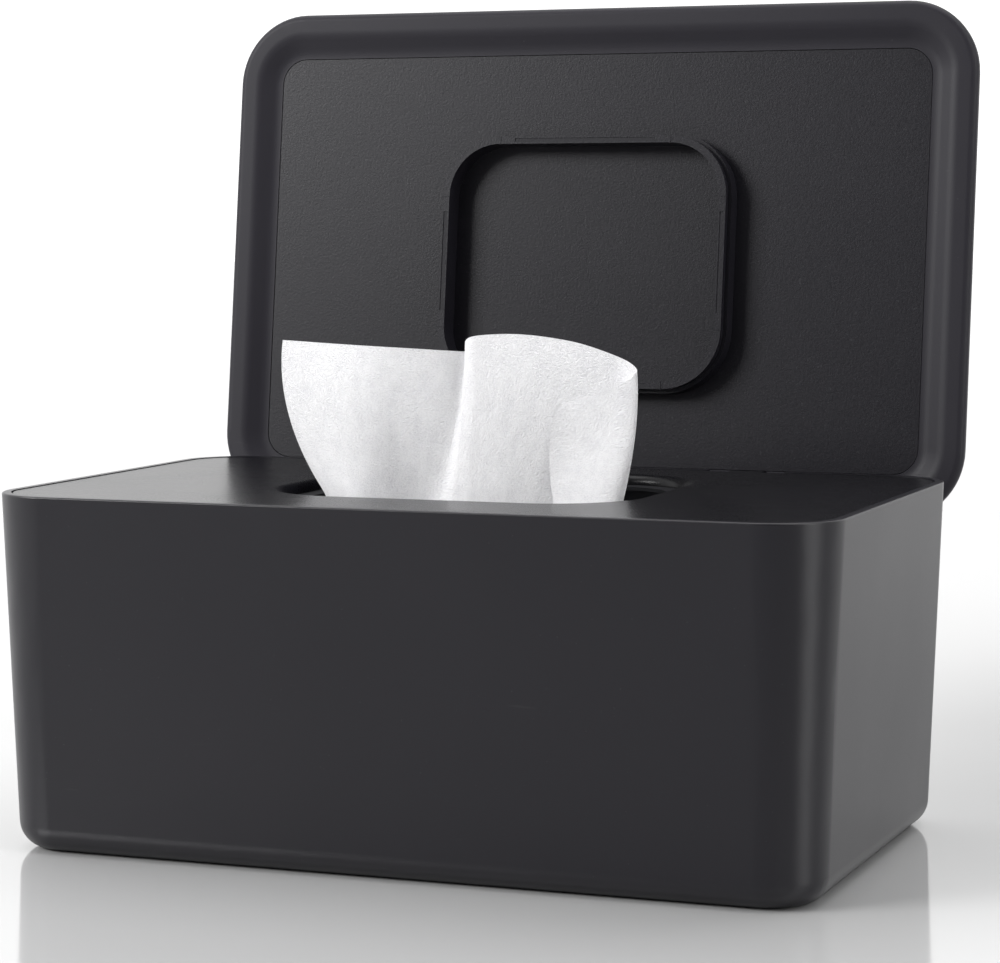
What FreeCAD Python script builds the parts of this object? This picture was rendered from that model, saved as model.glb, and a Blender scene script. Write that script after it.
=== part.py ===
import FreeCAD
import Part
import math
import os

from FreeCAD import Vector

# Refillable box for interleaved wet wipes, stood on a worktop with its lid open.
# Millimetres. X runs along the box, -Y is the front, +Z is up.
# The origin is the centre of the standing rim, on the worktop.

# Tub: one tapered moulding, wider at the rim than at the base.
tub_width = 190.0
tub_depth = 115.7
tub_height = 78.8
tub_corner_radius = 15.6
tub_wall = 2.0
tub_floor = 2.6
wall_lean = 3.0
base_edge_radius = 6.2
cavity_edge_radius = 4.2
rim_edge_radius = 0.4
standing_rim_width = 11.6
standing_rim_corner_radius = 16.0
base_recess_depth = 1.0

# Shelf ribs inside the tub, which the deck's skirt stands on.
shelf_rib_thickness = 1.6
shelf_rib_reach = 2.6
long_wall_rib_place_shares = (-0.72, 0.0, 0.72)
short_wall_rib_place_shares = (-0.5, 0.5)

# Anti-slip feet, pressed into pockets until they lie level with the standing rim.
foot_radius = 6.0
foot_thickness = 1.4
foot_inset = 10.8

# Deck: the plate that closes the tub, with the mouth that the wipes come through.
deck_thickness = 2.0
deck_below_rim = 0.15
deck_gap = 0.4
skirt_depth = 7.5
skirt_wall = 1.6
mouth_width = 82.0
mouth_depth = 70.4
mouth_corner_radius = 19.25
mouth_centre_y = 4.1
mouth_edge_radius = 2.4
collar_depth = 5.0
collar_wall = 1.8
stiffener_depth = 3.0
stiffener_thickness = 1.2
stiffener_place_shares = (-0.5, 0.5)

# Hinge: lugs on the deck reach back through notches in the tub's rear wall.
hinge_behind_rim = 0.35
hinge_below_rim = 4.9
hinge_spacing = 90.0
opening_angle = 97.1
pin_radius = 1.25
pin_head_radius = 2.1
pin_head_thickness = 0.8
push_gap = 0.02
running_gap = 0.05
lug_width = 8.0
lug_heel_length = 3.6
ear_width = 3.6
ear_radius = 2.9
ear_side_gap = 0.4
ear_front_gap = 0.4
notch_side_gap = 1.4
notch_floor_gap = 0.6
notch_corner_radius = 1.5
stop_gap = 0.15

# Lid shell: the outer moulding, with a raised lip, a cove and a narrow land.
lid_front_overhang = 0.55
lid_rear_overhang = 6.45
lid_side_inset = 0.25
lid_seat_gap = 0.15
lid_thickness = 6.5
lid_wall = 1.8
lid_corner_radius = 17.4
lid_top_radius = 4.4
lip_height = 2.0
lip_edge_radius = 1.8
lip_width = 5.5
cove_width = 4.0
cove_radius = 5.5
land_width = 1.6

# Lid liner: a panel let into the shell, with the closure rib moulded on it.
liner_thickness = 1.5
liner_gap = 0.15
liner_step = 0.15
liner_seat_width = 1.8
rib_clearance = 4.75
rib_wall = 1.75
rib_height = 6.3
rib_root_step = 0.9
rib_root_height = 4.4
rib_recess_width = 0.95
rib_recess_depth = 0.15
rib_recess_spacing = 3.8
rib_tick_width = 0.3
rib_tick_height = 0.12
rib_tick_overhang = 0.15

# Closure seal: a silicone band in the mouth, whose lip wipes the closure rib.
seal_wall = 1.0
seal_lip_thickness = 0.8
seal_lip_gap = 0.3

# Wipes: the folded stack, the next sheet, and the sheet pulled through the mouth.
stack_end_clearance = 10.1
stack_side_clearance = 3.95
stack_height = 36.0
stack_corner_radius = 5.0
stack_edge_radius = 2.0
soft_gap = 0.3
next_wipe_thickness = 1.1
next_wipe_inset = 2.0
tail_end_inset = 2.0
tail_side_inset = 7.0
tail_thickness = 2.5
tail_corner_radius = 4.0
cloth_thickness = 0.8
cloth_above_deck = 34.6

# Plan of the pulled sheet at the top of its lobes, from its free left edge round to its
# front flap, in shares of half the mouth's width and half its depth. Every second place
# is the middle of an arc. Further down, the sheet draws in about one upright line.
sheet_plan_shares = (
    (-1.078, -0.342),
    (-0.904, -0.405),
    (-0.658, -0.423),
    (-0.384, -0.279),
    (-0.219, 0.000),
    (-0.174, 0.054),
    (-0.128, 0.000),
    (-0.073, -0.225),
    (-0.018, -0.396),
    (0.037, -0.423),
    (0.100, -0.378),
    (0.438, -0.135),
    (0.758, -0.072),
    (0.877, -0.090),
    (0.904, -0.189),
    (0.877, -0.297),
    (0.776, -0.378),
    (0.667, -0.432),
    (0.521, -0.468),
)
drawn_in_about_shares = (0.48, -0.19)
tail_plan_share = 0.72

# The pulled sheet's free top edge: shares of half the mouth's width, and of
# cloth_above_deck. The flap's edge falls away in front of the lobe that it folds from.
lobe_edge_shares = ((-1.14, 0.93), (-0.59, 0.94), (-0.15, 0.86), (0.19, 1.0), (0.99, 0.76))
flap_edge_shares = ((0.43, 0.53), (0.99, 0.76))
flap_from_share = -0.13

# How far every cut runs past the face that it cuts.
overrun = 1.0

# How far off a level an edge may lie and still be taken for an edge of that level.
level_tolerance = 0.1

deck_top = tub_height - deck_below_rim
deck_underside = deck_top - deck_thickness
skirt_bottom = deck_underside - skirt_depth
collar_bottom = deck_underside - collar_depth
hinge_y = tub_depth / 2 + hinge_behind_rim
hinge_z = tub_height - hinge_below_rim
lip_crest = tub_height + lid_seat_gap
land_level = lip_crest + lip_height
lid_top = lip_crest + lid_thickness
lid_centre_y = (lid_rear_overhang - lid_front_overhang) / 2
lid_half_width = tub_width / 2 - lid_side_inset
lid_half_depth = (tub_depth + lid_front_overhang + lid_rear_overhang) / 2
panel_level = land_level + liner_step
panel_inset = lip_width + cove_width + land_width
stack_top = tub_floor + soft_gap + stack_height
next_wipe_bottom = stack_top + soft_gap
tail_bottom = next_wipe_bottom + next_wipe_thickness + soft_gap
tail_top = tail_bottom + tail_thickness


def rounded_wire(half_x, half_y, radius, z, centre_y=0):
    """A rounded rectangle at height z, as four lines and four quarter arcs."""
    side_x = half_x - radius
    side_y = half_y - radius
    diagonal = radius * math.sqrt(2) / 2
    edges = []
    for sign_x, sign_y in ((1, 1), (-1, 1), (-1, -1), (1, -1)):
        middle_x = sign_x * side_x
        middle_y = centre_y + sign_y * side_y
        at_side = Vector(middle_x + sign_x * radius, middle_y, z)
        at_corner = Vector(middle_x + sign_x * diagonal, middle_y + sign_y * diagonal, z)
        at_end = Vector(middle_x, middle_y + sign_y * radius, z)
        if sign_x * sign_y > 0:
            start, finish = at_side, at_end
        else:
            start, finish = at_end, at_side
        if edges:
            edges.append(Part.LineSegment(last, start).toShape())
        else:
            first = start
        edges.append(Part.Arc(start, at_corner, finish).toShape())
        last = finish
    edges.append(Part.LineSegment(last, first).toShape())
    return Part.Wire(edges)


def rounded_block(half_x, half_y, radius, bottom, top, centre_y=0):
    """A block with a rounded rectangle for its plan."""
    face = Part.Face(rounded_wire(half_x, half_y, radius, bottom, centre_y))
    return face.extrude(Vector(0, 0, top - bottom))


def box(low_x, high_x, low_y, high_y, low_z, high_z):
    """A plain block between two corners."""
    corner = Vector(low_x, low_y, low_z)
    return Part.makeBox(high_x - low_x, high_y - low_y, high_z - low_z, corner)


def x_cylinder(radius, low_x, high_x, y, z):
    """A cylinder along X."""
    return Part.makeCylinder(radius, high_x - low_x, Vector(low_x, y, z), Vector(1, 0, 0))


def joined(shapes):
    """The shapes as one solid, with the seams between level faces taken out."""
    return shapes[0].multiFuse(shapes[1:]).removeSplitter()


def level_edges(shape, z, half_x, half_y, centre_y=0):
    """The edges at height z that lie inside a rectangle seen from above."""
    found = []
    for edge in shape.Edges:
        bounds = edge.BoundBox
        level = abs(bounds.ZMin - z) < level_tolerance and abs(bounds.ZMax - z) < level_tolerance
        inside_x = max(abs(bounds.XMin), abs(bounds.XMax)) < half_x
        inside_y = max(abs(bounds.YMin - centre_y), abs(bounds.YMax - centre_y)) < half_y
        if level and inside_x and inside_y:
            found.append(edge)
    return found


def tub_section(z, inset=0):
    """The tub's outline at height z, moved in from its outer face by inset."""
    inward = wall_lean * (tub_height - z) / tub_height + inset
    return rounded_wire(
        tub_width / 2 - inward, tub_depth / 2 - inward, tub_corner_radius - inward, z
    )


def tub_plug(bottom, top, inset=0):
    """A solid that follows the tub's leaning walls between two heights."""
    return Part.makeLoft([tub_section(bottom, inset), tub_section(top, inset)], True, True)


def inner_half(length, z, inset):
    """Half of the tub's width or depth at height z, moved in by inset."""
    return length / 2 - wall_lean * (tub_height - z) / tub_height - inset


def shelf_ribs():
    """Upright ribs on the inside of the walls, as deep as the deck's skirt at their tops."""
    half_x = inner_half(tub_width, skirt_bottom, tub_wall)
    half_y = inner_half(tub_depth, skirt_bottom, tub_wall)
    half_rib = shelf_rib_thickness / 2
    ribs = []
    for share in long_wall_rib_place_shares:
        x = share * half_x
        for low_y, high_y in (
            (-half_y - tub_wall, shelf_rib_reach - half_y),
            (half_y - shelf_rib_reach, half_y + tub_wall),
        ):
            ribs.append(
                box(x - half_rib, x + half_rib, low_y, high_y, tub_floor / 2, skirt_bottom)
            )
    for share in short_wall_rib_place_shares:
        y = share * half_y
        for low_x, high_x in (
            (-half_x - tub_wall, shelf_rib_reach - half_x),
            (half_x - shelf_rib_reach, half_x + tub_wall),
        ):
            ribs.append(
                box(low_x, high_x, y - half_rib, y + half_rib, tub_floor / 2, skirt_bottom)
            )
    return ribs


def hinge_places():
    """The middle of each hinge along X, left and right."""
    return (-hinge_spacing / 2, hinge_spacing / 2)


def foot_places():
    """The centre of each foot, with its name."""
    x = tub_width / 2 - wall_lean - base_edge_radius - foot_inset
    y = tub_depth / 2 - wall_lean - base_edge_radius - foot_inset
    return {
        "foot_front_left": (-x, -y),
        "foot_front_right": (x, -y),
        "foot_rear_left": (-x, y),
        "foot_rear_right": (x, y),
    }


def hinge_half_width():
    """From the middle of a hinge to the outer face of its outer ear."""
    return lug_width / 2 + ear_side_gap + ear_width


def make_tub():
    """Tapered outer form, hollowed, with shelf ribs, hinge notches and a recessed base."""
    outer = tub_plug(0, tub_height)
    outer = outer.makeFillet(base_edge_radius, level_edges(outer, 0, tub_width, tub_depth))
    outer = outer.makeFillet(
        rim_edge_radius, level_edges(outer, tub_height, tub_width, tub_depth)
    )
    cavity = tub_plug(tub_floor, tub_height + overrun, tub_wall)
    cavity = cavity.makeFillet(
        cavity_edge_radius, level_edges(cavity, tub_floor, tub_width, tub_depth)
    )
    ribs = [rib.common(outer) for rib in shelf_ribs()]
    tub = joined([outer.cut(cavity)] + ribs)
    half_notch = hinge_half_width() + notch_side_gap
    notch_floor = hinge_z - hinge_below_rim - notch_floor_gap + stop_gap
    for x in hinge_places():
        notch = box(
            x - half_notch,
            x + half_notch,
            tub_depth / 2 - tub_wall - wall_lean,
            tub_depth / 2 + overrun,
            notch_floor,
            tub_height + overrun,
        )
        lower_edges = [
            edge
            for edge in notch.Edges
            if edge.BoundBox.YLength > tub_wall and edge.BoundBox.ZMax < hinge_z
        ]
        tub = tub.cut(notch.makeFillet(notch_corner_radius, lower_edges))
    recess_inset = wall_lean + base_edge_radius + standing_rim_width
    recess = rounded_block(
        tub_width / 2 - recess_inset,
        tub_depth / 2 - recess_inset,
        standing_rim_corner_radius,
        -overrun,
        base_recess_depth,
    )
    tub = tub.cut(recess)
    for x, y in foot_places().values():
        pocket = Part.makeCylinder(foot_radius, foot_thickness + overrun, Vector(x, y, -overrun))
        tub = tub.cut(pocket)
    return tub


def make_foot(x, y):
    """A silicone disc that fills its pocket."""
    return Part.makeCylinder(foot_radius, foot_thickness, Vector(x, y, 0))


def lug_profile(x):
    """Side view of a hinge lug: level top, round back about the pin, and a flat heel."""
    reach = hinge_below_rim - deck_below_rim
    heel_reach = lip_crest - hinge_z - stop_gap
    turn = math.radians(opening_angle)
    back = Vector(0, math.sin(turn), math.cos(turn))
    down = Vector(0, math.cos(turn), -math.sin(turn))
    pivot = Vector(x, hinge_y, hinge_z)
    front_y = tub_depth / 2 - tub_wall - deck_gap - skirt_wall
    top_front = Vector(x, front_y, deck_top)
    top_back = Vector(x, hinge_y, deck_top)
    half_turn = Vector(0, math.sin(turn / 2), math.cos(turn / 2))
    heel_top = pivot + back * heel_reach
    heel_end = heel_top + down * lug_heel_length
    bottom_front = Vector(x, front_y, heel_end.z)
    return Part.Wire(
        [
            Part.LineSegment(top_front, top_back).toShape(),
            Part.Arc(top_back, pivot + half_turn * reach, pivot + back * reach).toShape(),
            Part.LineSegment(pivot + back * reach, heel_top).toShape(),
            Part.LineSegment(heel_top, heel_end).toShape(),
            Part.LineSegment(heel_end, bottom_front).toShape(),
            Part.LineSegment(bottom_front, top_front).toShape(),
        ]
    )


def stiffeners():
    """Ribs under the deck, from the collar out to the skirt."""
    half_rib = stiffener_thickness / 2
    collar_x = mouth_width / 2 + collar_wall / 2
    collar_y = mouth_depth / 2 + collar_wall / 2
    skirt_x = inner_half(tub_width, deck_underside, tub_wall + deck_gap + skirt_wall / 2)
    skirt_y = inner_half(tub_depth, deck_underside, tub_wall + deck_gap + skirt_wall / 2)
    low_z = deck_underside - stiffener_depth
    high_z = deck_underside + deck_thickness / 2
    ribs = []
    for share in stiffener_place_shares:
        y = mouth_centre_y + share * mouth_depth / 2
        x = share * mouth_width / 2
        for low_x, high_x in ((-skirt_x, -collar_x), (collar_x, skirt_x)):
            ribs.append(box(low_x, high_x, y - half_rib, y + half_rib, low_z, high_z))
        for low_y, high_y in (
            (-skirt_y, mouth_centre_y - collar_y),
            (mouth_centre_y + collar_y, skirt_y),
        ):
            ribs.append(box(x - half_rib, x + half_rib, low_y, high_y, low_z, high_z))
    return ribs


def mouth_block(outset, bottom, top):
    """A block with the mouth's outline, moved out by outset."""
    return rounded_block(
        mouth_width / 2 + outset,
        mouth_depth / 2 + outset,
        mouth_corner_radius + outset,
        bottom,
        top,
        mouth_centre_y,
    )


def make_deck():
    """Plate and skirt that drop into the rim, a collared mouth, stiffeners and hinge lugs."""
    outer_inset = tub_wall + deck_gap
    deck = tub_plug(skirt_bottom, deck_top, outer_inset)
    deck = deck.cut(tub_plug(skirt_bottom - overrun, deck_underside, outer_inset + skirt_wall))
    collar = mouth_block(collar_wall, collar_bottom, deck_top)
    lugs = [
        Part.Face(lug_profile(x - lug_width / 2)).extrude(Vector(lug_width, 0, 0))
        for x in hinge_places()
    ]
    deck = joined([deck, collar] + stiffeners() + lugs)
    deck = deck.cut(mouth_block(0, collar_bottom - overrun, deck_top + overrun))
    half_x = mouth_width / 2 + overrun
    half_y = mouth_depth / 2 + overrun
    lip = level_edges(deck, deck_top, half_x, half_y, mouth_centre_y)
    deck = deck.makeFillet(mouth_edge_radius, lip)
    for x in hinge_places():
        for side in (-1, 1):
            near_x = x + side * (lug_width / 2)
            far_x = x + side * (hinge_half_width() + notch_side_gap)
            deck = deck.cut(
                box(
                    min(near_x, far_x),
                    max(near_x, far_x),
                    hinge_y - ear_radius - ear_front_gap,
                    hinge_y + tub_wall,
                    skirt_bottom - overrun,
                    deck_top + overrun,
                )
            )
        bore = x_cylinder(pin_radius + push_gap, x - lug_width, x + lug_width, hinge_y, hinge_z)
        deck = deck.cut(bore)
    return deck


def make_hinge_pin(x, outward):
    """A steel pin through the lug and both ears, with its head on the outer side."""
    half = hinge_half_width()
    shank = x_cylinder(pin_radius, x - half, x + half, hinge_y, hinge_z)
    face = x + outward * (half + running_gap)
    tip = face + outward * pin_head_thickness
    head = x_cylinder(pin_head_radius, min(face, tip), max(face, tip), hinge_y, hinge_z)
    neck = x_cylinder(
        pin_radius, min(x + outward * half, tip), max(x + outward * half, tip), hinge_y, hinge_z
    )
    return joined([shank, neck, head])


def opened(shape):
    """The shape of a closed lid piece, turned back about the hinge to where it rests open."""
    turned = shape.copy()
    turned.rotate(Vector(0, hinge_y, hinge_z), Vector(1, 0, 0), -opening_angle)
    return turned


def lid_outline(inset, z):
    """The lid's plan outline, moved in by inset, at height z."""
    return rounded_wire(
        lid_half_width - inset, lid_half_depth - inset, lid_corner_radius - inset, z, lid_centre_y
    )


def lid_block(inset, bottom, top):
    """A block with the lid's plan outline, moved in by inset."""
    return Part.Face(lid_outline(inset, bottom)).extrude(Vector(0, 0, top - bottom))


def ear_profile(x):
    """Side view of a hinge ear in the closed lid: an eye round the pin under a straight web."""
    low = Vector(x, hinge_y, hinge_z - ear_radius)
    front = Vector(x, hinge_y - ear_radius, hinge_z)
    back = Vector(x, hinge_y + ear_radius, hinge_z)
    web_top = land_level + lid_wall / 2
    front_top = Vector(x, front.y, web_top)
    back_top = Vector(x, back.y, web_top)
    return Part.Wire(
        [
            Part.Arc(front, low, back).toShape(),
            Part.LineSegment(back, back_top).toShape(),
            Part.LineSegment(back_top, front_top).toShape(),
            Part.LineSegment(front_top, front).toShape(),
        ]
    )


def make_lid_shell():
    """Outer lid moulding: crowned edge, raised lip, S-shaped cove, land, and hinge ears."""
    shell = lid_block(0, lip_crest, lid_top)
    shell = shell.makeFillet(lid_top_radius, level_edges(shell, lid_top, tub_width, tub_depth))
    shell = shell.makeFillet(lip_edge_radius, level_edges(shell, lip_crest, tub_width, tub_depth))
    run = cove_width / lip_height
    cove = Part.makeLoft(
        [
            lid_outline(lip_width - overrun * run, lip_crest - overrun),
            lid_outline(lip_width + cove_width, land_level),
        ],
        True,
        True,
    )
    shell = shell.cut(cove)
    inner_x = lid_half_width - lip_width / 2
    inner_y = lid_half_depth - lip_width / 2
    bends = level_edges(shell, lip_crest, inner_x, inner_y, lid_centre_y)
    bends += level_edges(shell, land_level, inner_x, inner_y, lid_centre_y)
    shell = shell.makeFillet(cove_radius, bends)
    shell = shell.cut(lid_block(panel_inset, land_level - overrun, panel_level + liner_thickness))
    shell = shell.cut(
        lid_block(panel_inset + liner_seat_width, panel_level, lid_top - lid_wall)
    )
    ears = []
    for x in hinge_places():
        for side in (-1, 1):
            near_x = x + side * (lug_width / 2 + ear_side_gap)
            low_x = min(near_x, near_x + side * ear_width)
            ears.append(Part.Face(ear_profile(low_x)).extrude(Vector(ear_width, 0, 0)))
    shell = joined([shell] + ears)
    for x in hinge_places():
        half = hinge_half_width() + overrun
        bore = x_cylinder(pin_radius + running_gap, x - half, x + half, hinge_y, hinge_z)
        shell = shell.cut(bore)
    return opened(shell)


def rib_recesses(rib_foot):
    """Shallow recesses along the straights of the rib's open edge."""
    half_x = mouth_width / 2 - rib_clearance - rib_wall / 2
    half_y = mouth_depth / 2 - rib_clearance - rib_wall / 2
    end_x = mouth_width / 2 - mouth_corner_radius - rib_recess_spacing
    end_y = mouth_depth / 2 - mouth_corner_radius - rib_recess_spacing
    half_recess = rib_recess_width / 2
    low_z = rib_foot - overrun
    high_z = rib_foot + rib_recess_depth
    recesses = []
    for side in (-1, 1):
        x = side * half_x
        y = mouth_centre_y + side * half_y
        recesses.append(box(-end_x, end_x, y - half_recess, y + half_recess, low_z, high_z))
        recesses.append(
            box(
                x - half_recess,
                x + half_recess,
                mouth_centre_y - end_y,
                mouth_centre_y + end_y,
                low_z,
                high_z,
            )
        )
    return recesses


def rib_ticks(rib_foot):
    """Fine raised marks across the rib's open edge, where its corners meet its straights."""
    half_x = mouth_width / 2 - rib_clearance - rib_wall / 2
    half_y = mouth_depth / 2 - rib_clearance - rib_wall / 2
    half_reach = rib_wall / 2 + rib_tick_overhang
    half_tick = rib_tick_width / 2
    low_z = rib_foot - rib_tick_height
    high_z = rib_foot + rib_tick_height
    ticks = []
    for side in (-1, 1):
        long_y = mouth_centre_y + side * half_y
        short_x = side * half_x
        for end_sign in (-1, 1):
            x = end_sign * (mouth_width / 2 - mouth_corner_radius)
            y = mouth_centre_y + end_sign * (mouth_depth / 2 - mouth_corner_radius)
            ticks.append(
                box(
                    x - half_tick,
                    x + half_tick,
                    long_y - half_reach,
                    long_y + half_reach,
                    low_z,
                    high_z,
                )
            )
            ticks.append(
                box(
                    short_x - half_reach,
                    short_x + half_reach,
                    y - half_tick,
                    y + half_tick,
                    low_z,
                    high_z,
                )
            )
    return ticks


def make_lid_liner():
    """Panel let into the lid shell, with the closure rib that plugs the mouth."""
    panel = lid_block(panel_inset + liner_gap, panel_level, panel_level + liner_thickness)
    rib_foot = panel_level - rib_height
    rib = mouth_block(-rib_clearance, rib_foot, panel_level + liner_thickness / 2)
    root = mouth_block(
        rib_root_step - rib_clearance, panel_level - rib_root_height, panel_level
    )
    inside = mouth_block(-rib_clearance - rib_wall, rib_foot - overrun, panel_level)
    rib = joined([rib, root]).cut(inside)
    for recess in rib_recesses(rib_foot):
        rib = rib.cut(recess)
    return opened(joined([panel, rib] + rib_ticks(rib_foot)))


def make_closure_seal():
    """Band pressed into the collar, under the mouth's rounded edge, with a lip at its top."""
    top = deck_top - mouth_edge_radius
    lip_bottom = top - seal_lip_thickness
    seal = mouth_block(0, collar_bottom, top)
    seal = seal.cut(mouth_block(-seal_wall, collar_bottom - overrun, lip_bottom))
    return seal.cut(mouth_block(seal_lip_gap - rib_clearance, lip_bottom - overrun, top + overrun))


def stack_halves():
    """Half the length and half the depth of the folded wipes, which lie clear of the walls."""
    half_x = inner_half(tub_width, tub_floor, tub_wall) - stack_end_clearance
    half_y = inner_half(tub_depth, tub_floor, tub_wall) - stack_side_clearance
    return half_x, half_y


def make_wipe_stack():
    """The folded wipes that are left, as one soft block with rounded folds."""
    half_x, half_y = stack_halves()
    bottom = tub_floor + soft_gap
    stack = rounded_block(half_x, half_y, stack_corner_radius, bottom, stack_top)
    top_edges = level_edges(stack, stack_top, tub_width, tub_depth)
    return stack.makeFillet(stack_edge_radius, top_edges)


def make_next_wipe():
    """The sheet that comes next, folded flat on the stack."""
    half_x, half_y = stack_halves()
    return rounded_block(
        half_x - next_wipe_inset,
        half_y - next_wipe_inset,
        stack_corner_radius,
        next_wipe_bottom,
        next_wipe_bottom + next_wipe_thickness,
    )


def sheet_row(scale, z):
    """The middle of the sheet at height z, as a row of points, drawn in to a scale."""
    about_x, about_y = drawn_in_about_shares
    half_x = mouth_width / 2
    half_y = mouth_depth / 2
    return [
        Vector(
            (about_x + scale * (x_share - about_x)) * half_x,
            mouth_centre_y + (about_y + scale * (y_share - about_y)) * half_y,
            z,
        )
        for x_share, y_share in sheet_plan_shares
    ]


def moved_across(row, distance):
    """The row of points moved sideways, square to its own run as seen from above."""
    moved = []
    for index, point in enumerate(row):
        run = row[min(index + 1, len(row) - 1)] - row[max(index - 1, 0)]
        moved.append(point + Vector(-run.y, run.x, 0).normalize() * distance)
    return moved


def arcs_through(row):
    """Arcs that follow a row of points, each through three of them."""
    return [
        Part.Arc(row[index], row[index + 1], row[index + 2]).toShape()
        for index in range(0, len(row) - 2, 2)
    ]


def sheet_section(row):
    """The sheet's cross-section at one height: its two faces and its two cut edges."""
    near = moved_across(row, -cloth_thickness / 2)
    far = moved_across(row, cloth_thickness / 2)
    far.reverse()
    edges = arcs_through(near)
    edges.append(Part.LineSegment(near[-1], far[0]).toShape())
    edges += arcs_through(far)
    edges.append(Part.LineSegment(far[-1], near[0]).toShape())
    return Part.Wire(edges)


def above_edge(edge_shares, low_y, high_y):
    """All that lies over a free top edge, between two places from front to back."""
    roof = deck_top + cloth_above_deck + 2 * overrun
    places = [
        Vector(x_share * mouth_width / 2, low_y, deck_top + rise_share * cloth_above_deck)
        for x_share, rise_share in edge_shares
    ]
    edges = []
    if len(places) > 2:
        edges += arcs_through(places)
    else:
        edges.append(Part.LineSegment(places[0], places[1]).toShape())
    last_roof = Vector(places[-1].x, low_y, roof)
    first_roof = Vector(places[0].x, low_y, roof)
    edges.append(Part.LineSegment(places[-1], last_roof).toShape())
    edges.append(Part.LineSegment(last_roof, first_roof).toShape())
    edges.append(Part.LineSegment(first_roof, places[0]).toShape())
    return Part.Face(Part.Wire(edges)).extrude(Vector(0, high_y - low_y, 0))


def make_pulled_wipe():
    """The sheet in use: a left lobe, a valley, a rolled right lobe with a front flap, a tail."""
    low = sheet_row(tail_plan_share, tail_top - tail_thickness / 2)
    high = sheet_row(1, deck_top + cloth_above_deck + overrun)
    sheet = Part.makeLoft([sheet_section(low), sheet_section(high)], True, True)
    front = mouth_centre_y - mouth_depth / 2
    flap_from = mouth_centre_y + flap_from_share * mouth_depth / 2
    sheet = sheet.cut(above_edge(lobe_edge_shares, front, mouth_centre_y + mouth_depth / 2))
    sheet = sheet.cut(above_edge(flap_edge_shares, front, flap_from))
    half_x, half_y = stack_halves()
    tail = rounded_block(
        half_x - tail_end_inset,
        half_y - tail_side_inset,
        tail_corner_radius,
        tail_bottom,
        tail_top,
    )
    return tail.fuse(sheet)


def main():
    pieces = {
        "tub": make_tub(),
        "deck": make_deck(),
        "hinge_pin_left": make_hinge_pin(-hinge_spacing / 2, -1),
        "hinge_pin_right": make_hinge_pin(hinge_spacing / 2, 1),
        "lid_shell": make_lid_shell(),
        "lid_liner": make_lid_liner(),
        "closure_seal": make_closure_seal(),
        "wipe_stack": make_wipe_stack(),
        "next_wipe": make_next_wipe(),
        "pulled_wipe": make_pulled_wipe(),
    }
    for name, (x, y) in foot_places().items():
        pieces[name] = make_foot(x, y)
    os.makedirs("parts", exist_ok=True)
    for name, shape in pieces.items():
        if len(shape.Solids) == 1:
            shape = shape.Solids[0]
        bounds = shape.BoundBox
        print(
            name, len(shape.Solids), "solid", shape.isValid(), round(shape.Volume, 1),
            [round(v, 2) for v in (bounds.XMin, bounds.YMin, bounds.ZMin)],
            [round(v, 2) for v in (bounds.XMax, bounds.YMax, bounds.ZMax)],
        )
        shape.exportStep("parts/" + name + ".step")
    print("hinge axis", round(hinge_y, 3), round(hinge_z, 3), "deck top", round(deck_top, 3))
    print("tail top", round(tail_top, 3), "tail bottom", round(tail_bottom, 3))
    print("pull room", round(collar_bottom - tail_top, 3))


main()
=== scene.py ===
import math

import bmesh
import bpy
import numpy as np
from mathutils import Matrix, Vector


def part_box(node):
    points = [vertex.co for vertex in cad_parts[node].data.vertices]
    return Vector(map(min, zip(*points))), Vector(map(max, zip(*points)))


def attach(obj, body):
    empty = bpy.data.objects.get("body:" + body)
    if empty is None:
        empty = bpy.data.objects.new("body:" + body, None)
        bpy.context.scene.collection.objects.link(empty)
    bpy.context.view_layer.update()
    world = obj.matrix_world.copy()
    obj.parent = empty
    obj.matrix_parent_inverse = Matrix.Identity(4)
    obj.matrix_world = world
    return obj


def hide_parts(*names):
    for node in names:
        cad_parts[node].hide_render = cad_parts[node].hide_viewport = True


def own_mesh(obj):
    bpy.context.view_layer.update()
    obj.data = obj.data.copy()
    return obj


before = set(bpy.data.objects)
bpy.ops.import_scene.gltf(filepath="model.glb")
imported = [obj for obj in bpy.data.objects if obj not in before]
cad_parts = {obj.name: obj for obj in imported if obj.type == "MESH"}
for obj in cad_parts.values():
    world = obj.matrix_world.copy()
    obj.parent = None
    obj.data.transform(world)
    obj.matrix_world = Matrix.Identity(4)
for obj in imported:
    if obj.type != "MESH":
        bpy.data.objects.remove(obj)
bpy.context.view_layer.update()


# Camera. A long lens stands low, a little right of the box, and looks across its front
# towards the left rear corner, so that the deck is seen almost edge on.

camera_place = Vector((0.25312, -0.64605, 0.14201))
camera_turn = math.radians(21.032)
camera_tilt = math.radians(90 - 5.131)
camera_roll = math.radians(-0.107)

camera_data = bpy.data.cameras.new("camera")
camera_data.lens = 112.39
camera_data.sensor_width = 36
camera_data.clip_start = 0.01
camera_data.clip_end = 30
camera = bpy.data.objects.new("camera", camera_data)
camera.matrix_world = (
    Matrix.Translation(camera_place)
    @ Matrix.Rotation(camera_turn, 4, "Z")
    @ Matrix.Rotation(camera_tilt, 4, "X")
    @ Matrix.Rotation(camera_roll, 4, "Z")
)
bpy.context.scene.collection.objects.link(camera)
bpy.context.scene.camera = camera


# Tub. One injection moulding in near-black polypropylene, with a very fine satin skin
# from the spark-eroded mould. It tapers to its base, which has a recessed middle.

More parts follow.
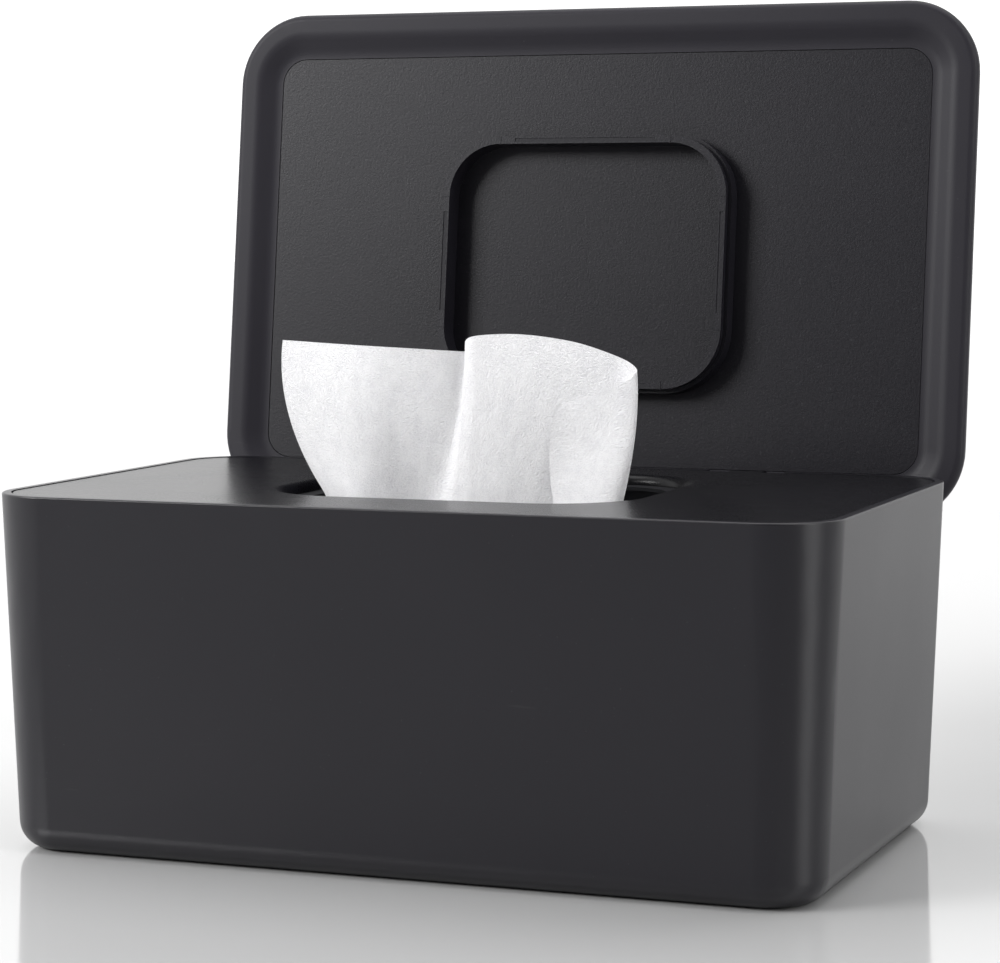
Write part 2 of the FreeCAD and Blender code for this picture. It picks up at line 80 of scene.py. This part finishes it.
class Strand:
    """A socket in a material's tree. Arithmetic on it adds Math nodes to the tree."""

    def __init__(self, tree, socket=None):
        self.tree = tree
        self.socket = socket

    def node(self, kind, sockets=None, outlet=0, stops=None, **settings):
        """Adds a node: its settings first, then a value or a strand for each socket."""
        made = self.tree.nodes.new(kind)
        for name, value in settings.items():
            setattr(made, name, value)
        if stops:
            elements = made.color_ramp.elements
            while len(elements) < len(stops):
                elements.new(0.5)
            for element, (place, colour) in zip(elements, stops):
                element.position = place
                element.color = (*colour, 1)
        for name, value in (sockets or {}).items():
            if isinstance(value, Strand):
                self.tree.links.new(value.socket, made.inputs[name])
            else:
                made.inputs[name].default_value = value
        return Strand(self.tree, made.outputs[outlet])

    def math(self, operation, first, second=0.0):
        return self.node("ShaderNodeMath", {0: first, 1: second}, operation=operation)

    def __add__(self, other):
        return self.math("ADD", self, other)

    __radd__ = __add__

    def __mul__(self, other):
        return self.math("MULTIPLY", self, other)

    __rmul__ = __mul__

    def __sub__(self, other):
        return self.math("SUBTRACT", self, other)

    def __rsub__(self, other):
        return self.math("SUBTRACT", other, self)

    def noise(self, place, scale, detail=2.0, roughness=0.5):
        """Noise from 0 to 1, with features of about 1 / scale metres."""
        sockets = {"Vector": place, "Scale": scale, "Detail": detail, "Roughness": roughness}
        return self.node("ShaderNodeTexNoise", sockets, noise_dimensions="3D")

    def between(self, value, low, high):
        """How far value has come from low to high, held between 0 and 1, eased at both ends."""
        sockets = {"Value": value, "From Min": low, "From Max": high}
        return self.node("ShaderNodeMapRange", sockets, interpolation_type="SMOOTHSTEP")

    def blend(self, share, first, second):
        """The colour that is share of the way from first to second."""
        first, second = (c if isinstance(c, Strand) else (*c, 1) for c in (first, second))
        return self.node("ShaderNodeMix", {0: share, 6: first, 7: second}, 2, data_type="RGBA")

    def bump(self, height, depth, strength=1.0):
        sockets = {"Height": height, "Distance": depth, "Strength": strength}
        return self.node("ShaderNodeBump", sockets)


def new_material(name, constants, varying):
    """A material whose varying sockets come from a function of a strand and the place on the piece."""
    material = bpy.data.materials.new(name)
    material.use_nodes = True
    tree = material.node_tree
    surface = next(n for n in tree.nodes if n.type == "BSDF_PRINCIPLED")
    for socket, value in constants.items():
        surface.inputs[socket].default_value = value
    start = Strand(tree)
    place = start.node("ShaderNodeTexCoord", outlet="Object")
    for socket, strand in varying(start, place).items():
        tree.links.new(strand.socket, surface.inputs[socket])
    return material


def moulded_plastic(name, colour, shine, gloss, grain, grain_depth, dust):
    """Near-black moulded plastic.

    The grain is fine noise of size grain, the gloss drifts in soft patches where it has been
    handled, and a few specks of dust and hairline scuffs are paler and duller than the skin.
    """
    dusty = tuple(c + 0.035 for c in colour)

    def varying(start, place):
        fine = start.noise(place, 1 / grain, 3.0, 0.6)
        patches = start.noise(place, 22.0, 3.0, 0.55)
        specks = start.between(start.noise(place, 1500.0, 1.0), 0.76, 0.82)
        stretched = start.node(
            "ShaderNodeMapping", {"Vector": place, "Rotation": (0.3, 0.5, 0.4), "Scale": (1, 26, 9)}
        )
        scuffs = start.between(start.noise(stretched, 55.0, 2.0, 0.6), 0.70, 0.78)
        marks = specks * dust + scuffs * (0.35 * dust)
        tint = start.blend(patches, tuple(c * 0.93 for c in colour), tuple(c * 1.07 for c in colour))
        return {
            "Base Color": start.blend(marks, tint, dusty),
            "Roughness": (patches - 0.5) * 0.07 + (fine - 0.5) * 0.05 + marks * 0.18 + gloss,
            "Normal": start.bump(fine, grain_depth),
        }

    return new_material(name, {"IOR": 1.49, "Specular IOR Level": shine}, varying)


def smooth_copy(node, material, body):
    """A node's own surface as a piece: its loose triangles merged, so that its rounds shade smoothly."""
    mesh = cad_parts[node].data.copy()
    shape = bmesh.new()
    shape.from_mesh(mesh)
    bmesh.ops.remove_doubles(shape, verts=shape.verts, dist=2e-6)
    for face in shape.faces:
        face.smooth = True
    crease = math.radians(32)
    for edge in shape.edges:
        edge.smooth = edge.is_manifold and edge.calc_face_angle(0) < crease
    shape.to_mesh(mesh)
    shape.free()
    mesh.materials.clear()
    mesh.materials.append(material)
    piece = bpy.data.objects.new(node + "_moulding", mesh)
    bpy.context.scene.collection.objects.link(piece)
    normals = piece.modifiers.new("even shading", "WEIGHTED_NORMAL")
    normals.keep_sharp = True
    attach(piece, body)
    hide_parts(node)
    return piece


tub_skin = moulded_plastic("tub skin", (0.0092, 0.0085, 0.0120), 0.42, 0.34, 0.00035, 0.000012, 0.5)
smooth_copy("tub", tub_skin, "tub")


# Feet. Four die-cut silicone discs, pressed into blind pockets in the standing rim until
# the box's weight holds them level with it. Silicone is duller than the moulding round it.

def silicone(name, colour):
    """Matt silicone: an even skin with a fine bloom of dust in it."""

    def varying(start, place):
        bloom = start.noise(place, 260.0, 4.0, 0.65)
        fine = start.noise(place, 2600.0, 2.0)
        return {
            "Base Color": start.blend(bloom, colour, tuple(c * 1.5 for c in colour)),
            "Roughness": bloom * 0.16 + 0.56,
            "Normal": start.bump(fine, 0.00002),
        }

    return new_material(name, {"IOR": 1.42, "Specular IOR Level": 0.25}, varying)


foot_silicone = silicone("foot silicone", (0.026, 0.026, 0.029))
for foot in ("foot_front_left", "foot_front_right", "foot_rear_left", "foot_rear_right"):
    smooth_copy(foot, foot_silicone, "tub")


# Deck. A thin moulded plate that drops into the rim on its skirt. The wipes come up
# through its mouth, and its hinge lugs carry the lid. Its top has the same satin skin as the
# tub, but its colour is about a third of the tub's: painted shade, for the dark lid it reflects.

deck_skin_with_painted_shade = moulded_plastic("deck skin with painted shade", (0.0034, 0.0032, 0.0046), 0.20, 0.27, 0.00030, 0.000010, 0.5)
smooth_copy("deck", deck_skin_with_painted_shade, "cover")


# Closure seal. A soft silicone band pressed into the mouth's collar. Its thin lip wipes the
# outside of the lid's rib as the lid shuts, and keeps the wipes wet.

seal_silicone = silicone("seal silicone", (0.011, 0.011, 0.013))
smooth_copy("closure_seal", seal_silicone, "cover")


# Hinge pins. Two short drawn steel pins with upset heads, pushed through the deck's lugs.
# The lid's ears turn on them. Drawing leaves fine lines along the wire.

def drawn_steel(start, place):
    lines = start.node("ShaderNodeMapping", {"Vector": place, "Scale": (40, 2600, 2600)})
    drawn = start.noise(lines, 1.0, 3.0)
    stain = start.noise(place, 900.0, 3.0)
    return {
        "Base Color": start.blend(stain, (0.50, 0.50, 0.51), (0.62, 0.61, 0.60)),
        "Roughness": drawn * 0.22 + 0.2,
        "Normal": start.bump(drawn, 0.00001),
    }


pin_steel = new_material("pin steel", {"Metallic": 1.0}, drawn_steel)
for pin in ("hinge_pin_left", "hinge_pin_right"):
    smooth_copy(pin, pin_steel, "cover")


# Lid shell. The outer moulding of the lid, open here and seen from its inner side. A round
# lip runs all the way round it, then a soft cove down to a narrow land about the panel.

# Its colour is over twice the tub's: painted light, for the light that fills the lid's cove from the
# front.
lid_skin_with_painted_light = moulded_plastic("lid skin with painted light", (0.0225, 0.0212, 0.0268), 0.20, 0.48, 0.00033, 0.000014, 0.5)
smooth_copy("lid_shell", lid_skin_with_painted_light, "lid")


# Lid liner. A flat panel welded into the shell, with the rib that plugs the mouth moulded
# on it. Its mould was spark-eroded, so its skin is coarser and duller than the shell's.

# The open rib stands out of the panel along liner_up. The floors of the shallow recesses in its
# edge lie at recess_floor along that line, and they are duller than the edge itself.
mm = 0.001
tick_height = 0.12 * mm
recess_depth = 0.15 * mm
past_upright = math.radians(97.1 - 90)
liner_up = (0, -math.cos(past_upright), math.sin(past_upright))
tick_tops = max(v.co.dot(Vector(liner_up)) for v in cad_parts["lid_liner"].data.vertices)
recess_floor = tick_tops - tick_height - recess_depth


def spark_texture(start, place):
    near, far = 0.03 * mm, 0.06 * mm
    rise = start.node("ShaderNodeVectorMath", {0: place, 1: liner_up}, 1, operation="DOT_PRODUCT")
    recess = start.between(rise, recess_floor - far, recess_floor - near)
    recess = recess * (1 - start.between(rise, recess_floor + near, recess_floor + far))
    coarse = start.noise(place, 1700.0, 2.0, 0.7)
    fine = start.noise(place, 4200.0, 2.0, 0.6)
    patches = start.noise(place, 30.0, 3.0)
    specks = start.between(start.noise(place, 1150.0, 1.0), 0.70, 0.78)
    skin = start.blend(coarse, (0.0048, 0.0044, 0.0068), (0.0150, 0.0140, 0.0190))
    return {
        "Base Color": start.blend(specks * 0.35, skin, (0.045, 0.045, 0.05)),
        "Roughness": coarse * 0.14 + patches * 0.06 + recess * 0.14 + 0.30,
        "Normal": start.bump(coarse * 0.6 + fine * 0.4, 0.00006),
    }


liner_skin = new_material("liner skin", {"IOR": 1.49, "Specular IOR Level": 0.3}, spark_texture)
smooth_copy("lid_liner", liner_skin, "lid")


# Pulled wipe. One white spunlace sheet, 160 by 200 mm, drawn up through the mouth by its
# leading edge. It stands in two lobes with a valley between them, rolls round at the right
# and comes back as a short flap. Inside the box, its other end still lies on the stack.

deck_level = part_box("deck")[1].z
tail_low, tail_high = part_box("pulled_wipe")[0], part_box("next_wipe")[1].z + 2.8 * mm
wipe_width = 0.160
loose_share = 0.97
sheet_columns = 260
sheet_rows = 240

# Each row is a line up the sheet, from its free left edge round to the flap's free edge:
# x and y at the mouth, x and y at the top edge, the top edge's rise over the deck, and how
# far the line bows out sideways half way up.
left_lobe_mm = [
    (-36, -7.5, -48, -0.5, 32, -3.5),
    (-29, -10, -37, -1.5, 31.5, -1.5),
    (-24, -8, -27, -1, 31, -0.5),
    (-19, -2.5, -17.5, 1, 30.5, 0),
]
valley_mm = [
    (-13, 0, -8.5, 3, 30, 0.5),
    (-9, 0, -5, 4.5, 30, 0.5),
    (-6, -1.5, -5, 3.5, 32, 0.5),
]
right_lobe_mm = [
    (-2, -2.5, -1.5, 1.5, 33.5, 0),
    (4, -2.5, 9.5, 0.5, 34, -0.5),
    (12.5, -1.5, 22, 0.5, 32.5, 0),
    (25, -1, 32.5, -0.5, 29.5, 1),
]
roll_and_flap_mm = [
    (34.5, -4.5, 37.5, -3.5, 27.5, 1),
    (36, -7, 38, -5, 26, 1),
    (31.5, -8, 34, -4.5, 23.5, 0.5),
    (18, -3, 18, -0.5, 18.5, -1),
]
sheet_lines_mm = np.array(left_lobe_mm + valley_mm + right_lobe_mm + roll_and_flap_mm)


def along(points, shares):
    """Places on a smooth curve through the points, at shares from 0 to 1 of the way along it.

    Between points p1 and p2 with neighbours p0 and p3, at t from 0 to 1, it is half of
    2 p1 + (p2 - p0) t + (2 p0 - 5 p1 + 4 p2 - p3) t^2 + (3 p1 - p0 - 3 p2 + p3) t^3.
    """
    ends = np.vstack([2 * points[0] - points[1], points, 2 * points[-1] - points[-2]])
    steps = np.hypot(*np.diff(points[:, 2:4], axis=0).T)
    knots = np.concatenate([[0], np.cumsum(steps)]) / steps.sum()
    span = np.clip(np.searchsorted(knots, shares, side="right") - 1, 0, len(points) - 2)
    t = ((shares - knots[span]) / (knots[span + 1] - knots[span]))[:, None]
    p0, p1, p2, p3 = (ends[span + k] for k in range(4))
    square = (2 * p0 - 5 * p1 + 4 * p2 - p3) * t**2
    return (2 * p1 + (p2 - p0) * t + square + (3 * p1 - p0 - 3 * p2 + p3) * t**3) / 2


def eased(value, low, high):
    """From 0 at low to 1 at high, as 3 s^2 - 2 s^3."""
    s = np.clip((value - low) / (high - low), 0, 1)
    return s * s * (3 - 2 * s)


def grid_mesh(name, place, sheet_place, material):
    """A mesh of quads on a grid of places, with the cloth's own flat coordinates as its UV map."""
    rows, columns = place.shape[:2]
    corner = np.arange(rows * columns).reshape(rows, columns)
    quads = np.stack(
        [corner[:-1, :-1], corner[:-1, 1:], corner[1:, 1:], corner[1:, :-1]], axis=-1
    ).reshape(-1, 4)
    mesh = bpy.data.meshes.new(name)
    mesh.from_pydata(place.reshape(-1, 3).tolist(), [], quads.tolist())
    layer = mesh.uv_layers.new(name="cloth")
    layer.data.foreach_set("uv", sheet_place.reshape(-1, 2)[quads.ravel()].ravel())
    mesh.polygons.foreach_set("use_smooth", np.ones(len(mesh.polygons), bool))
    mesh.materials.append(material)
    piece = bpy.data.objects.new(name, mesh)
    bpy.context.scene.collection.objects.link(piece)
    return piece


def spunlace(name, wetness):
    """White spunlace: water jets tangle loose fibres into a cloudy web with a faint crinkle."""

    def varying(start, place):
        flat = start.node("ShaderNodeUVMap", uv_map="cloth")
        bend = start.node("ShaderNodeTexNoise", {"Vector": flat, "Scale": 800.0, "Detail": 2.0}, 1)
        swayed = start.node(
            "ShaderNodeVectorMath",
            {
                0: start.node("ShaderNodeVectorMath", {0: bend, 1: (0.0010,) * 3}, operation="MULTIPLY"),
                1: flat,
            },
            operation="ADD",
        )
        slanted = start.node(
            "ShaderNodeMapping", {"Vector": swayed, "Rotation": (0, 0, 0.5), "Scale": (1500, 3000, 1)}
        )
        crinkle = start.noise(slanted, 1.0, 3.0, 0.6)
        lying = start.node("ShaderNodeMapping", {"Vector": swayed, "Scale": (700, 4600, 1)})
        fibres = start.noise(lying, 1.0, 4.0, 0.65)
        cloud = start.noise(flat, 190.0, 4.0, 0.6)
        height = crinkle * 0.55 + fibres * 0.35 + cloud * 0.35
        return {
            # Base colour darker where the height is low: partly the web's own thin places, partly
            # painted shade in the hollows of the crinkle.
            "Base Color": start.blend(
                start.between(height, 0.42, 0.72), (0.80, 0.795, 0.825), (0.97, 0.965, 0.985)
            ),
            "Roughness": cloud * 0.2 + (0.74 - 0.2 * wetness),
            "Normal": start.bump(height, 0.0007),
        }

    constants = {
        "Sheen Weight": 0.2,
        "Sheen Roughness": 0.5,
        "Subsurface Weight": 0.3,
        "Subsurface Radius": (0.003, 0.003, 0.003),
        "Subsurface Scale": 0.6,
        "IOR": 1.4,
    }
    return new_material(name, constants, varying)


def pulled_sheet():
    """The sheet as a grid: across it by shares u of its width, up it by lengths s from its far end.

    Place = spine(s) + x(u, s) X + n(u, s) N(s). The spine lies back, folds over, runs in to
    the neck and bends upright. N is its normal: up where the sheet lies, and forward where
    it stands. x and n go from a flat sheet to the gathered lines of the table as it rises.
    Over the deck a share t of the way up, x = x0 (1 - t) + x1 t + 4 b t (1 - t).
    """
    u = np.linspace(0, 1, sheet_columns)
    lines = along(sheet_lines_mm, u) * mm
    low_layer = tail_low.z + 0.5 * mm
    high_layer = tail_high - 0.8 * mm
    fold_y, back_y, stand_y = -0.041, 0.041, -0.004
    bend = 0.012
    fold = (high_layer - low_layer) / 2
    flat_back = back_y - fold_y
    round_fold = math.pi * fold
    flat_front = stand_y - bend - fold_y
    round_bend = math.pi / 2 * bend
    upright = deck_level - high_layer - bend
    ends = np.cumsum([0, flat_back, round_fold, flat_front, round_bend, upright])
    s_in = np.concatenate(
        [np.linspace(a, b, n, endpoint=False) for a, b, n in zip(ends, ends[1:], (40, 8, 36, 18, 40))]
    )
    rise = np.linspace(0, 1, sheet_rows - len(s_in))
    s, top = s_in[:, None], rise[:, None]

    angle = np.zeros(len(s_in))
    angle += math.pi * (1 - np.clip((s_in - ends[1]) / round_fold, 0, 1))
    angle += math.pi / 2 * np.clip((s_in - ends[3]) / round_bend, 0, 1)
    step = np.diff(s_in, prepend=0)
    lean = (angle + np.concatenate([angle[:1], angle[:-1]])) / 2
    y = back_y + np.cumsum(np.cos(lean) * step)
    z = low_layer + np.cumsum(np.sin(lean) * step)
    y, z, angle = y[:, None], z[:, None], angle[:, None]

    gather = eased(s, ends[2] - 0.1 * flat_back, ends[3] + 0.1 * round_bend)
    loose = (u - 0.5) * wipe_width * loose_share
    below = np.clip((ends[-1] - s) / (0.5 * upright), 0, 1)
    drop = 0.25 * upright * below * (2 - below)
    neck_x = lines[:, 0] - drop * (lines[:, 2] - lines[:, 0] + 4 * lines[:, 5]) / lines[:, 4]
    neck_y = lines[:, 1] - drop * (lines[:, 3] - lines[:, 1]) / lines[:, 4]
    x = loose * (1 - gather) + neck_x * gather
    depth = (stand_y - neck_y) * eased(s, ends[3], ends[4] + 0.5 * upright)
    ripple = 0.5 * mm * np.sin(2 * math.pi * (7 * u + 1.3 * np.sin(5 * u))) * gather * (1 - gather) * 4
    tail_wave = 0.15 * mm * np.sin(11 * u + 70 * s)
    front_wave = np.maximum(ripple + 0.2 * mm * np.sin(9 * u + 60 * s), -0.3 * mm)
    n = np.where(s < ends[2], tail_wave, np.where(s > ends[3], depth + ripple, front_wave))
    inside = np.stack([x, y - n * np.sin(angle), z + n * np.cos(angle) + 0 * x], axis=-1)

    bow = 4 * top * (1 - top)
    crumple = 0.5 * mm * bow * np.sin(2 * math.pi * (2.2 * u + 0.3 * top) + 0.6)
    out_x = lines[:, 0] * (1 - top) + lines[:, 2] * top + lines[:, 5] * bow
    out_y = lines[:, 1] * (1 - top) + lines[:, 3] * top + crumple
    out_z = deck_level + lines[:, 4] * top
    outside = np.stack([out_x, out_y, out_z], axis=-1)

    place = np.concatenate([inside, outside])
    steps = np.linalg.norm(np.diff(place, axis=0), axis=2).mean(axis=1)
    length = np.concatenate([[0], np.cumsum(steps)])
    flat_u = np.broadcast_to(u * wipe_width, place.shape[:2])
    flat_v = np.broadcast_to(length[:, None], place.shape[:2])
    return place, np.stack([flat_u, flat_v], axis=-1)


wipe_cloth = spunlace("wipe cloth", 0.4)
pulled = grid_mesh("pulled_sheet", *pulled_sheet(), wipe_cloth)
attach(pulled, "wipe")
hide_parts("pulled_wipe")
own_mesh(pulled)


# Folded wipes. The refill is a pad of interleaved sheets, each folded over the next, so
# its front and back show one round fold above another. The next sheet lies on top.

fold_columns = 40
folds_random = np.random.default_rng(7)


def folded_pad(low, high, layers, waviness):
    """A strip folded to and fro, front to back, seen as a grid.

    Layer k runs along y at height k times the step. It ends in a half turn to the next layer,
    of radius half a step, and each turn stops a little short of the box's edge at random.
    """
    step = (high.z - low.z) / layers
    radius = step / 2
    t = np.linspace(0, 1, 8)
    turn = np.linspace(-math.pi / 2, math.pi / 2, 6)
    profile = []
    for k in range(layers):
        level = low.z + step * (k + 0.5)
        front = low.y + radius + folds_random.uniform(0, waviness)
        back = high.y - radius - folds_random.uniform(0, waviness)
        run = (front, back) if k % 2 else (back, front)
        sign = 1 if k % 2 else -1
        profile += [(run[0] * (1 - a) + run[1] * a, level) for a in t]
        if k < layers - 1:
            profile += [
                (run[1] + sign * radius * math.cos(a), level + radius + radius * math.sin(a))
                for a in turn[1:-1]
            ]
    profile = np.array(profile)
    u = np.linspace(0, 1, fold_columns)
    x = low.x + (high.x - low.x) * u
    drift = 0.12 * step * np.sin(9 * u[None, :] + 3 * profile[:, :1] / 0.05)
    place = np.stack(
        [
            np.broadcast_to(x, (len(profile), fold_columns)),
            np.broadcast_to(profile[:, :1], (len(profile), fold_columns)),
            profile[:, 1:] + drift,
        ],
        axis=-1,
    )
    run = np.concatenate([[0], np.cumsum(np.hypot(*np.diff(profile, axis=0).T))])
    flat = np.stack(
        [np.broadcast_to(x, place.shape[:2]), np.broadcast_to(run[:, None], place.shape[:2])], axis=-1
    )
    return place, flat, float(run[-1])


for node, layers in (("wipe_stack", 48), ("next_wipe", 2)):
    low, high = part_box(node)
    place, flat, length = folded_pad(low, high, layers, 0.9 * mm)
    pad = grid_mesh("folded_" + node, place, flat, wipe_cloth)
    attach(pad, "tub")
    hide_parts(node)


# Floor and light. The box stands on a white glossy table in a white studio. A large soft
# box at the front left does most of the work, with a weak one at the right and a broad one
# overhead. A bright strip at the right draws the light line down the near corner.

def table_top(start, place):
    smear = start.noise(place, 7.0, 3.0)
    return {"Roughness": smear * 0.03 + 0.07}


floor_white = new_material(
    "table top", {"Base Color": (0.49, 0.49, 0.492, 1), "IOR": 1.8}, table_top
)
floor_mesh = bpy.data.meshes.new("floor")
half_floor = 6.0
floor_mesh.from_pydata(
    [(x, y, 0) for x, y in ((-1, -1), (1, -1), (1, 1), (-1, 1))], [], [(0, 1, 2, 3)]
)
floor_mesh.transform(Matrix.Scale(half_floor, 4))
floor_mesh.materials.append(floor_white)
floor = bpy.data.objects.new("floor", floor_mesh)
bpy.context.scene.collection.objects.link(floor)

# How bright the studio is round the horizon, from the left by the front and the right to the
# back: a share of a turn, and a grey. A small grey card hangs low at the back right.
studio_greys = (
    (0.00, 1.00),
    (0.07, 0.75),
    (0.13, 0.48),
    (0.19, 0.12),
    (0.25, 0.05),
    (0.40, 0.02),
    (0.44, 0.30),
    (0.455, 3.80),
    (0.49, 3.80),
    (0.52, 0.45),
    (0.57, 0.35),
    (0.625, 0.90),
    (0.75, 1.00),
    (1.00, 1.00),
)

world = bpy.data.worlds.new("studio")
world.use_nodes = True
studio = Strand(world.node_tree)
direction = studio.node("ShaderNodeTexCoord", outlet="Generated")
turn = studio.node("ShaderNodeTexGradient", {"Vector": direction}, 1, gradient_type="RADIAL")
walls = studio.node("ShaderNodeValToRGB", {0: turn}, stops=[(p, (g,) * 3) for p, g in studio_greys])
height = studio.node("ShaderNodeSeparateXYZ", {0: direction}, 2)
card = studio.between(turn, 0.60, 0.66) * (1 - studio.between(turn, 0.775, 0.805))
card = card * studio.between(height, 0.12, 0.165) * (1 - studio.between(height, 0.20, 0.235))
backdrop = studio.blend(card * 0.5, walls, (0.0, 0.0, 0.0))
background = next(n for n in world.node_tree.nodes if n.type == "BACKGROUND")
world.node_tree.links.new(backdrop.socket, background.inputs["Color"])
background.inputs["Strength"].default_value = 1.27
bpy.context.scene.world = world


def soft_light(name, place, aim, width, height, power):
    """A soft box at a place, turned to face another."""
    data = bpy.data.lights.new(name, "AREA")
    data.shape = "RECTANGLE"
    data.size = width
    data.size_y = height
    data.energy = power
    light = bpy.data.objects.new(name, data)
    light.location = place
    light.rotation_euler = (Vector(aim) - Vector(place)).to_track_quat("-Z", "Y").to_euler()
    bpy.context.scene.collection.objects.link(light)


middle = (0, 0, 0.08)
soft_light("key light", (-1.05, -0.98, 0.80), middle, 0.7, 0.6, 23.6)
soft_light("fill light", (0.95, -1.00, 0.75), middle, 0.5, 0.5, 1.5)
soft_light("top light", (0.0, 0.15, 1.2), middle, 1.2, 1.0, 6.0)

bpy.context.scene.view_settings.view_transform = "Standard"
